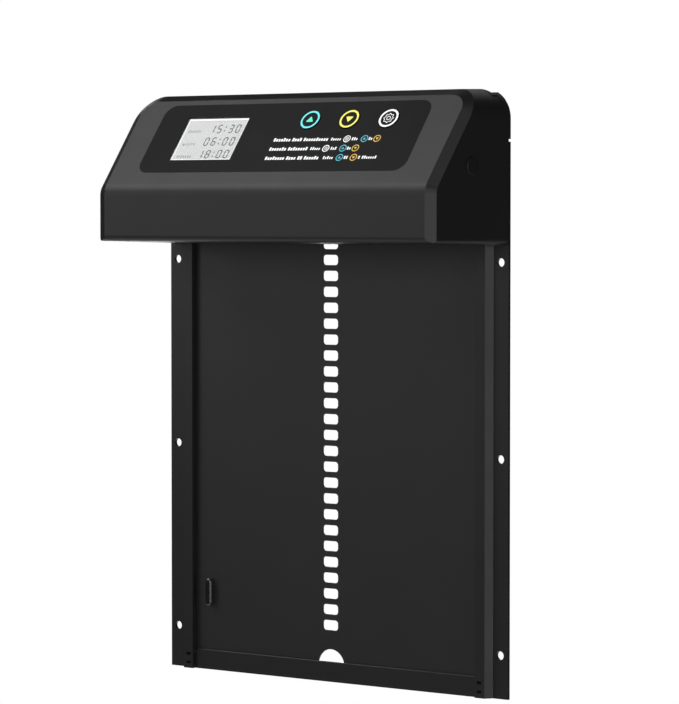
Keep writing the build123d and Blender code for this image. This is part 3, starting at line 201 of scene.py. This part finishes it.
def ranged(tree, source, low, high):
    """A value between low and high that follows a 0 to 1 source."""
    spread = tree.nodes.new("ShaderNodeMapRange")
    spread.inputs["From Min"].default_value = NOISE_LOW
    spread.inputs["From Max"].default_value = NOISE_HIGH
    spread.inputs["To Min"].default_value = low
    spread.inputs["To Max"].default_value = high
    tree.links.new(source, spread.inputs["Value"])
    return spread.outputs["Result"]


def noise(tree, place, size, detail=NOISE_DETAIL):
    """Noise whose features are about size metres across."""
    texture = tree.nodes.new("ShaderNodeTexNoise")
    texture.inputs["Scale"].default_value = 1 / size
    texture.inputs["Detail"].default_value = detail
    tree.links.new(place, texture.inputs["Vector"])
    return texture.outputs["Fac"]


def finish_of(
    name,
    colour,
    roughness,
    metallic=0.0,
    specular=0.5,
    mottle=0.12,
    mottle_size=0.02,
    rough_spread=0.06,
    grain=None,
    coat=0.0,
    alpha=1.0,
    glow=0.0,
):
    """A procedural finish: mottled colour, uneven gloss, layers of grain as (size, depth) in metres, and
    glow, painted light that makes the part shine though it is no lamp.
    """
    material = bpy.data.materials.new(name)
    material.use_nodes = True
    tree = material.node_tree
    shader = tree.nodes["Principled BSDF"]
    place = tree.nodes.new("ShaderNodeTexCoord").outputs["Object"]
    shader.inputs["Metallic"].default_value = metallic
    shader.inputs["Specular IOR Level"].default_value = specular
    shader.inputs["Coat Weight"].default_value = coat
    shader.inputs["Coat Roughness"].default_value = COAT_ROUGHNESS
    shader.inputs["Alpha"].default_value = alpha
    shader.inputs["Emission Color"].default_value = (*colour, 1)
    # The glow is painted light: the part gives off light in its own colour.
    shader.inputs["Emission Strength"].default_value = glow
    blend = tree.nodes.new("ShaderNodeMix")
    blend.data_type = "RGBA"
    blend.inputs["A"].default_value = (*[c * (1 - mottle) for c in colour], 1)
    blend.inputs["B"].default_value = (*[min(1.0, c * (1 + mottle)) for c in colour], 1)
    tree.links.new(ranged(tree, noise(tree, place, mottle_size), 0, 1), blend.inputs["Factor"])
    tree.links.new(blend.outputs["Result"], shader.inputs["Base Color"])
    uneven = noise(tree, place, mottle_size * UNEVEN_SIZE, UNEVEN_DETAIL)
    tree.links.new(
        ranged(tree, uneven, max(0.02, roughness - rough_spread), min(1.0, roughness + rough_spread)),
        shader.inputs["Roughness"],
    )
    normal = None
    for size, depth in grain or []:
        bump = tree.nodes.new("ShaderNodeBump")
        bump.inputs["Distance"].default_value = depth
        tree.links.new(noise(tree, place, size, GRAIN_DETAIL), bump.inputs["Height"])
        if normal is not None:
            tree.links.new(normal, bump.inputs["Normal"])
        normal = bump.outputs["Normal"]
    if normal is not None:
        tree.links.new(normal, shader.inputs["Normal"])
    return material


def grey(level, tint=(1.0, 1.0, 1.0)):
    """A grey of that reflectance, slightly tinted."""
    return tuple(level * t for t in tint)


# Grains, as (size, depth) of each layer
POWDER_COAT = [(1.3 * MM, 0.006 * MM), (0.35 * MM, 0.002 * MM)]
SPARKED = [(0.45 * MM, 0.004 * MM), (0.16 * MM, 0.0015 * MM)]
FILM = [(0.25 * MM, 0.002 * MM)]
TURNED = [(0.4 * MM, 0.003 * MM)]

# Little variation in level and gloss, for the black finishes
EVEN = {"mottle": 0.05, "mottle_size": 0.05, "rough_spread": 0.012}


def smooth_black(name, level, roughness, specular, grain):
    """An even black finish of that reflectance, gloss and grain."""
    return finish_of(name, grey(level), roughness, specular=specular, grain=grain, **EVEN)


# One finish for each material slot of the record
finishes = {
    "rail_metal": smooth_black("powder_coated_rail", 0.010, 0.42, 0.32, POWDER_COAT),
    "panel_metal": smooth_black("powder_coated_panel", 0.009, 0.46, 0.40, POWDER_COAT),
    "housing_plastic": smooth_black("moulded_housing", 0.011, 0.44, 0.30, SPARKED),
    "base_plastic": smooth_black("moulded_base", 0.010, 0.52, 0.32, SPARKED),
    "glossy_black": finish_of("gloss_moulding", grey(0.010), 0.14, coat=0.9, rough_spread=0.03),
    "overlay_film": smooth_black("printed_film", 0.004, 0.34, 0.045, FILM),
    "clear_window": finish_of("clear_window", grey(0.02), 0.05, alpha=0.06, rough_spread=0.01),
    # The display's glass glows at 0.19: painted light that brightens its pale grey.
    "lcd_grey": finish_of("display_glass", grey(0.72, (0.98, 1.0, 0.99)), 0.4, mottle=0.02, glow=0.19),
    "button_open": smooth_black("cap_open", 0.004, 0.34, 0.045, FILM),
    "button_close": smooth_black("cap_close", 0.004, 0.34, 0.045, FILM),
    "button_set": smooth_black("cap_set", 0.004, 0.34, 0.045, FILM),
    "magnet_steel": finish_of("plated_magnet", grey(0.55), 0.3, metallic=1.0, grain=TURNED),
    "foam_rubber": finish_of("seal_foam", grey(0.03), 0.9, grain=[(0.5 * MM, 0.08 * MM)]),
    "plug_rubber": finish_of("rubber_plug", grey(0.008), 0.5, specular=0.3, grain=SPARKED),
    "screw_steel": finish_of("blackened_screw", grey(0.16), 0.38, metallic=1.0, grain=TURNED),
    "holder_plastic": finish_of("white_holder", grey(0.62), 0.5, grain=SPARKED, mottle=0.04),
    "switch_plastic": finish_of("switch_moulding", grey(0.05), 0.4, grain=SPARKED),
    "board_green": finish_of("solder_mask", (0.012, 0.09, 0.035), 0.35, grain=FILM, mottle=0.25),
    "chip_black": finish_of("chip_epoxy", grey(0.02), 0.5, grain=SPARKED),
    "cell_steel": finish_of("coin_cell_steel", grey(0.6), 0.28, metallic=1.0, grain=TURNED),
    "connector_white": finish_of("connector_nylon", (0.72, 0.70, 0.62), 0.45, grain=SPARKED, mottle=0.04),
    "reed_glass": finish_of("reed_glass", (0.20, 0.32, 0.24), 0.08, coat=0.5, rough_spread=0.02),
    "frame_plastic": finish_of("gearbox_frame_nylon", grey(0.045), 0.48, grain=SPARKED),
    "gear_plastic": finish_of("acetal_gear", (0.70, 0.69, 0.64), 0.34, grain=FILM, mottle=0.05),
    "shaft_steel": finish_of("ground_shaft", grey(0.58), 0.22, metallic=1.0, grain=TURNED),
    "clip_steel": finish_of("spring_clip", grey(0.30), 0.35, metallic=1.0, grain=TURNED),
    "bronze": finish_of("sintered_bronze", (0.55, 0.33, 0.16), 0.45, metallic=1.0, grain=SPARKED),
    "pinion_brass": finish_of("cut_brass", (0.72, 0.52, 0.22), 0.28, metallic=1.0, grain=TURNED),
    "motor_steel": finish_of("plated_motor_can", grey(0.56), 0.33, metallic=1.0, grain=TURNED),
    "gearhead_steel": finish_of("gearhead_steel", grey(0.50), 0.38, metallic=1.0, grain=TURNED),
    "terminal_tin": finish_of("tinned_tag", grey(0.68), 0.3, metallic=1.0, grain=TURNED),
    "battery_jacket": finish_of("cell_jacket", (0.02, 0.05, 0.11), 0.3, coat=0.3, grain=FILM),
    "tray_plastic": finish_of("tray_moulding", grey(0.03), 0.5, grain=SPARKED),
    "spring_steel": finish_of("plated_spring", grey(0.62), 0.3, metallic=1.0, grain=TURNED),
    "wire_red": finish_of("wire_insulation", (0.35, 0.015, 0.015), 0.4, grain=FILM),
}
# A near-black finish for the corner blocks, darker than the base moulding: painted shade for the shade at
# the rails' feet.
block_painted_shade_finish = smooth_black("corner_block_painted_shade", 0.002, 0.6, 0.06, SPARKED)

# Printed inks. Most of them glow, painted light that brightens the print, strongest on the display's white
# border
ink_white = finish_of("ink_white", grey(0.95), 0.5, mottle=0.02, glow=0.3)
ink_blue = finish_of("ink_blue", (0.13, 0.75, 0.78), 0.5, mottle=0.03, glow=0.3)
ink_green = finish_of("ink_green", (0.07, 0.82, 0.60), 0.5, mottle=0.03, glow=0.3)
ink_yellow = finish_of("ink_yellow", (0.92, 0.84, 0.12), 0.5, mottle=0.03, glow=0.3)
ink_teal = finish_of("ink_teal", (0.06, 0.48, 0.58), 0.5, mottle=0.03, glow=0.25)
ink_amber = finish_of("ink_amber", (0.74, 0.48, 0.07), 0.5, mottle=0.03, glow=0.25)
ink_lcd = finish_of("display_segment", grey(0.14, (1.0, 1.04, 1.02)), 0.5, mottle=0.04)
ink_label = finish_of("display_label", grey(0.36, (1.0, 1.02, 1.02)), 0.5, mottle=0.04)
ink_border = finish_of("display_border", grey(0.95), 0.4, mottle=0.01, glow=0.5)

for node in nodes.values():
    slots = [material.name.split(".")[0] for material in node.data.materials]
    for index, slot_name in enumerate(slots):
        node.data.materials[index] = finishes[slot_name]
# The corner blocks take the darker finish, painted shade at the rails' feet.
for side in ("left", "right"):
    nodes[side + "_corner_block"].data.materials[0] = block_painted_shade_finish


# ---------------------------------------------------------------------------------------------
# Thin printed pieces on the slanted face


def face_extent(node_name):
    """Lowest and highest (x, v, out) of a CAD node in the slanted face's directions, from the origin."""
    points = [v.co for v in nodes[node_name].data.vertices]
    places = [(p.x, p.dot(FACE_UP), p.dot(FACE_OUT)) for p in points]
    return [min(axis) for axis in zip(*places)], [max(axis) for axis in zip(*places)]


class Print:
    """A thin piece made of closed plates, laid at an (x, v) centre and a level out of the slanted face."""

    def __init__(self, centre, level, thickness=INK):
        self.mesh = bmesh.new()
        self.centre = centre
        self.low = level - INK_SUNK
        self.high = level + thickness

    def point(self, x, v, out):
        """A place x along and v up the slope from the piece's centre, at that level."""
        cx, cv = self.centre
        return Vector((cx + x, 0, 0)) + FACE_UP * (cv + v) + FACE_OUT * out

    def plate(self, outline):
        """A flat shape from its corners, counter-clockwise as seen from outside."""
        low = [self.mesh.verts.new(self.point(x, v, self.low)) for x, v in outline]
        high = [self.mesh.verts.new(self.point(x, v, self.high)) for x, v in outline]
        self.mesh.faces.new(high)
        self.mesh.faces.new(list(reversed(low)))
        for i in range(len(outline)):
            j = (i + 1) % len(outline)
            self.mesh.faces.new([low[i], low[j], high[j], high[i]])

    def band(self, outer, inner):
        """A closed band between two outlines with the same number of corners, counter-clockwise."""
        rings = []
        for outline, out in ((outer, self.low), (outer, self.high), (inner, self.high), (inner, self.low)):
            rings.append([self.mesh.verts.new(self.point(x, v, out)) for x, v in outline])
        for k in range(4):
            ring, following = rings[k], rings[(k + 1) % 4]
            for i in range(len(ring)):
                j = (i + 1) % len(ring)
                self.mesh.faces.new([ring[i], ring[j], following[j], following[i]])

    def done(self, name, material, body, slot_name):
        """Makes the object and lets it ride on its body."""
        data = bpy.data.meshes.new(name)
        bmesh.ops.recalc_face_normals(self.mesh, faces=self.mesh.faces)
        self.mesh.to_mesh(data)
        self.mesh.free()
        data.materials.append(material)
        piece = bpy.data.objects.new(name, data)
        bpy.context.scene.collection.objects.link(piece)
        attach(piece, body)
        return piece


def circle(radius, x=0.0, v=0.0, count=72):
    """Corners of a circle, counter-clockwise."""
    return [
        (x + radius * math.cos(2 * math.pi * i / count), v + radius * math.sin(2 * math.pi * i / count))
        for i in range(count)
    ]


def gear_outline(radius, x=0.0, v=0.0, count=96):
    """A gear-like outline with soft lobes."""
    outline = []
    for i in range(count):
        angle = 2 * math.pi * i / count
        lobe = max(-1.0, min(1.0, LOBE_SHARPNESS * math.cos(GEAR_LOBES * angle)))
        reach = radius * (1 - LOBE_DEPTH + LOBE_DEPTH * lobe)
        outline.append((x + reach * math.cos(angle), v + reach * math.sin(angle)))
    return outline


def rectangle(x, v, width, height):
    """Corners of a rectangle about (x, v), counter-clockwise."""
    w, h = width / 2, height / 2
    return [(x - w, v - h), (x + w, v - h), (x + w, v + h), (x - w, v + h)]


def arrow(direction, width, height, x=0.0, v=0.0, rounding=0.12):
    """A triangle with clipped corners that points up for 1 and down for -1."""
    corners = [(-width / 2, -height / 2), (width / 2, -height / 2), (0, height / 2)]
    outline = []
    for i in range(3):
        here = Vector(corners[i])
        for other in (Vector(corners[i - 1]), Vector(corners[(i + 1) % 3])):
            outline.append(here.lerp(other, rounding))
    outline = [(x + p.x, v + direction * p.y) for p in outline]
    return outline if direction > 0 else outline[::-1]


def symbol(piece, kind, radius, x=0.0, v=0.0):
    """The sign inside a ring: an arrow for open and close, a gear for set."""
    scale = radius / RING_OUTER
    if kind == "set":
        line = LINE_WIDTH * max(scale, THINNEST_LINE)
        gear = GEAR_RADIUS * scale
        hub = gear * GEAR_HUB
        piece.band(gear_outline(gear, x, v), gear_outline(gear - line, x, v))
        piece.band(circle(hub, x, v), circle(hub - line * HUB_LINE, x, v))
    else:
        direction = 1 if kind == "open" else -1
        shift = ARROW_SHIFT * ARROW_HEIGHT * scale * direction
        piece.plate(arrow(direction, ARROW_WIDTH * scale, ARROW_HEIGHT * scale, x, v + shift))


signs = {
    "open": ("open_button", ink_blue, ink_green, "button_open"),
    "close": ("close_button", ink_yellow, ink_yellow, "button_close"),
    "set": ("set_button", ink_white, ink_white, "button_set"),
}
for kind, (node_name, ring_ink, sign_ink, slot_name) in signs.items():
    low, high = face_extent(node_name)
    middle = ((low[0] + high[0]) / 2, (low[1] + high[1]) / 2)
    body = node_name + "_body"
    ring = Print(middle, high[2])
    ring.band(circle(RING_OUTER), circle(RING_INNER))
    ring.done(kind + "_ring", ring_ink, body, slot_name)
    sign = Print(middle, high[2])
    symbol(sign, kind, RING_OUTER)
    sign.done(kind + "_sign", sign_ink, body, slot_name)


# Instruction lines, greeked: words are rows of blocks, with no lettering
film_low, film_high = face_extent("control_overlay")
film_centre = (0.0, (film_low[1] + film_high[1]) / 2)
words = Print(film_centre, film_high[2])
small = {kind: Print(film_centre, film_high[2]) for kind in signs}
for row, line in enumerate(INSTRUCTIONS):
    v = INSTRUCTION_TOP - row * INSTRUCTION_PITCH
    for left, kind, lengths in line:
        x = left * MM
        if kind in small:
            small[kind].band(circle(SMALL_RING, x, v), circle(SMALL_RING - LINE_WIDTH, x, v))
            symbol(small[kind], kind, SMALL_RING * SMALL_SIGN, x, v)
            continue
        pitch, width, high, low = BLOCKS[kind]
        for length in lengths:
            for letter in range(length):
                tall = high if letter == 0 or (letter * 7 + row * 3 + length) % 5 == 0 else low
                words.plate(rectangle(x + width / 2, v - high / 2 + tall / 2, width, tall))
                x += pitch
            x += WORD_GAP
words.done("instruction_words", ink_white, "frame_and_housing", "overlay_film")
for kind, ink in {"open": ink_teal, "close": ink_amber, "set": ink_white}.items():
    small[kind].done("instruction_" + kind + "_signs", ink, "frame_and_housing", "overlay_film")


# ---------------------------------------------------------------------------------------------
# Display: a white border, three rows of segments and small signs, just over the display's glass

glass_low, glass_high = face_extent("lcd_window")
display_centre = ((glass_low[0] + glass_high[0]) / 2, (glass_low[1] + glass_high[1]) / 2)
display_width = glass_high[0] - glass_low[0]
display_height = glass_high[1] - glass_low[1]
module_top = face_extent("lcd_module")[1][2]


def segment(piece, start, end):
    """One display segment: a bar with pointed ends, a little shorter than its cell's side."""
    start, end = Vector(start), Vector(end)
    along = (end - start).normalized()
    across = Vector((-along.y, along.x)) * DIGIT_STROKE / 2
    tip = along * DIGIT_STROKE / 2
    gap = along * SEGMENT_GAP * DIGIT_STROKE
    first, last = start + gap, end - gap
    right_side = [first, first + tip - across, last - tip - across]
    left_side = [last, last - tip + across, first + tip + across]
    piece.plate([(c.x, c.y) for c in right_side + left_side])


def digit(piece, character, left, low):
    """A number's lit segments, in a cell with its lower left corner at (left, low)."""
    inner_width = DIGIT_WIDTH - DIGIT_STROKE
    inner_height = DIGIT_HEIGHT - DIGIT_STROKE
    x, v = left + DIGIT_STROKE / 2, low + DIGIT_STROKE / 2
    for key in LIT[character]:
        start, end = SEGMENTS[key]
        segment(
            piece,
            (x + start[0] * inner_width, v + start[1] * inner_height),
            (x + end[0] * inner_width, v + end[1] * inner_height),
        )


digits = Print(display_centre, module_top, thickness=DISPLAY_INK)
labels = Print(display_centre, module_top, thickness=DISPLAY_INK)
row_width = 3 * DIGIT_PITCH + COLON_SPACE + DIGIT_WIDTH
for row, text in enumerate(DISPLAY_ROWS):
    middle_v = ROW_PITCH * (1 - row) + ROW_SHIFT
    x = display_width / 2 - ROW_MARGIN - row_width
    for character in text:
        if character == ":":
            dot_x = x + COLON_SPACE / 2 - COLON_BACK
            for offset in (-COLON_HALF, COLON_HALF):
                digits.plate(rectangle(dot_x, middle_v + offset, COLON_DOT, COLON_DOT))
            x += COLON_SPACE
        else:
            digit(digits, character, x, middle_v - DIGIT_HEIGHT / 2)
            x += DIGIT_PITCH
    # A clock, an arrow up or an arrow down stands for the row's name, with blocks after it
    sign_x = -display_width / 2 + SIGN_MARGIN
    sign_v = middle_v - SIGN_DROP
    if row == 0:
        labels.band(circle(CLOCK_OUTER, sign_x, sign_v), circle(CLOCK_INNER, sign_x, sign_v))
        labels.plate(rectangle(sign_x, sign_v + CLOCK_HAND[0], *CLOCK_HAND))
    else:
        labels.plate(arrow(1 if row == 1 else -1, *SIGN_ARROW, sign_x, sign_v))
    for block in range(4 + row // 2):
        labels.plate(rectangle(sign_x + (LABEL_START + LABEL_PITCH * block) * MM, sign_v, *LABEL_BLOCK))
digits.done("display_segments", ink_lcd, "frame_and_housing", "lcd_grey")
labels.done("display_labels", ink_label, "frame_and_housing", "lcd_grey")

border = Print(display_centre, module_top, thickness=DISPLAY_INK)
border.band(
    rectangle(0, 0, display_width, display_height),
    rectangle(0, 0, display_width - 2 * DISPLAY_BORDER, display_height - 2 * DISPLAY_BORDER),
)
border.done("display_border", ink_border, "frame_and_housing", "lcd_grey")


# ---------------------------------------------------------------------------------------------
# Studio: floor, world, lights and camera


def seen_or_cast(tree, seen, cast):
    """A strength that is seen for the camera's own rays and cast for the light that falls on the object."""
    path = tree.nodes.new("ShaderNodeLightPath")
    strength = tree.nodes.new("ShaderNodeMapRange")
    strength.inputs["To Min"].default_value = cast
    strength.inputs["To Max"].default_value = seen
    tree.links.new(path.outputs["Is Camera Ray"], strength.inputs["Value"])
    return strength.outputs["Result"]


def floor():
    """A pale disc well below the object, which hangs on a wall."""
    mesh = bmesh.new()
    bmesh.ops.create_circle(mesh, cap_ends=True, radius=FLOOR_RADIUS, segments=96)
    data = bpy.data.meshes.new("floor")
    mesh.to_mesh(data)
    mesh.free()
    pale = finish_of("pale_floor", grey(0.8), 0.8, mottle=0.01, mottle_size=0.5)
    shader = pale.node_tree.nodes["Principled BSDF"]
    glow = seen_or_cast(pale.node_tree, FLOOR_SEEN, FLOOR_CAST)
    pale.node_tree.links.new(glow, shader.inputs["Emission Strength"])
    data.materials.append(pale)
    disc = bpy.data.objects.new("floor", data)
    disc.location = (0, 0, cad_box[0].z - FLOOR_DROP)
    bpy.context.scene.collection.objects.link(disc)


def world():
    """A white backdrop for the camera that casts only a little light on the object."""
    made = bpy.data.worlds.new("studio")
    made.use_nodes = True
    tree = made.node_tree
    background = tree.nodes["Background"]
    tree.links.new(seen_or_cast(tree, WORLD_SEEN, WORLD_CAST), background.inputs["Strength"])
    background.inputs["Color"].default_value = (1, 1, 1, 1)
    bpy.context.scene.world = made


def softbox(name, direction, distance, width, height, power, target):
    """A rectangular light in a direction from its target, turned to face it."""
    data = bpy.data.lights.new(name, "AREA")
    data.shape = "RECTANGLE"
    data.size = width
    data.size_y = height
    data.energy = power
    lamp = bpy.data.objects.new(name, data)
    away = Vector(direction).normalized()
    lamp.location = Vector(target) + away * distance
    lamp.rotation_mode = "QUATERNION"
    lamp.rotation_quaternion = away.to_track_quat("Z", "Y")
    bpy.context.scene.collection.objects.link(lamp)


def camera():
    """The camera, at the photograph's place and angle."""
    data = bpy.data.cameras.new("camera")
    data.lens = CAMERA_LENS
    data.clip_start, data.clip_end = 0.05, 20
    eye = bpy.data.objects.new("camera", data)
    level = math.cos(CAMERA_PITCH)
    ahead = Vector(
        (-math.sin(CAMERA_AZIMUTH) * level, math.cos(CAMERA_AZIMUTH) * level, -math.sin(CAMERA_PITCH))
    )
    eye.location = CAMERA_PLACE
    eye.rotation_mode = "QUATERNION"
    eye.rotation_quaternion = ahead.to_track_quat("-Z", "Y")
    bpy.context.scene.collection.objects.link(eye)
    bpy.context.scene.camera = eye


floor()
world()
for light_name, settings in LIGHTS.items():
    softbox(light_name, *settings)
camera()
bpy.context.scene.view_settings.view_transform = "Standard"
